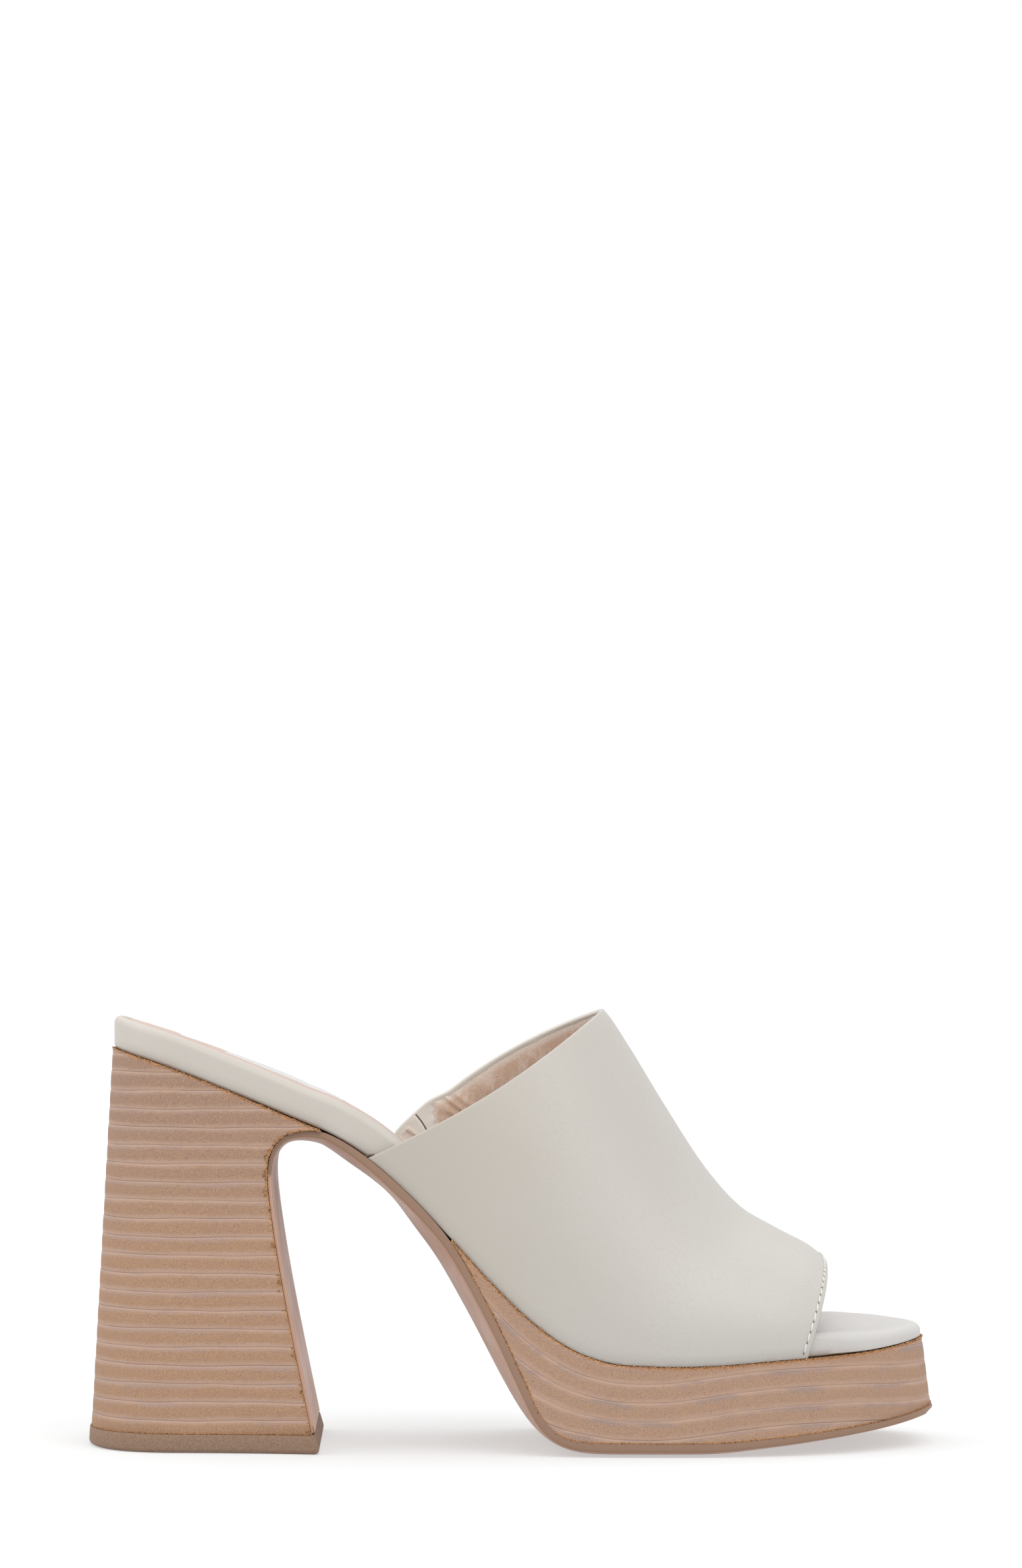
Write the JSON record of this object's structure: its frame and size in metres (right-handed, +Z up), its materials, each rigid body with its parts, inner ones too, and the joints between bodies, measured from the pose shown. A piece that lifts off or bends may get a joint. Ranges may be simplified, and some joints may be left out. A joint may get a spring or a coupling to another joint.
{
  "type": "platform mule sandal",
  "caption": "Open-toed slip-on platform sandal with a wide one-piece vamp, a wrapped footbed, a stacked-look platform and a high flared block heel.",
  "frame": {"origin": "on the floor, under the middle of the shoe's bounding box", "axes": "+X from the heel to the toe, +Y towards the inner side of the foot, +Z up from the floor"},
  "size_m": [0.2182, 0.0848, 0.1118],
  "materials": {
    "upper_leather": "smooth ivory leather with a fine grain, satin",
    "sock_leather": "thin pinkish tan lining leather, matte",
    "stacked_board": "stacked leather look in thin layers, dry and matte, speckled brown",
    "sole_rubber": "smooth moulded tan rubber, satin",
    "lift_rubber": "finely pitted grey brown rubber, matte"
  },
  "bodies": {
    "root": {"outsole": "sole_rubber", "platform": "stacked_board", "heel": "stacked_board", "top_lift": "lift_rubber", "footbed": "upper_leather", "sock": "sock_leather", "vamp": "upper_leather"}
  },
  "joints": []
}
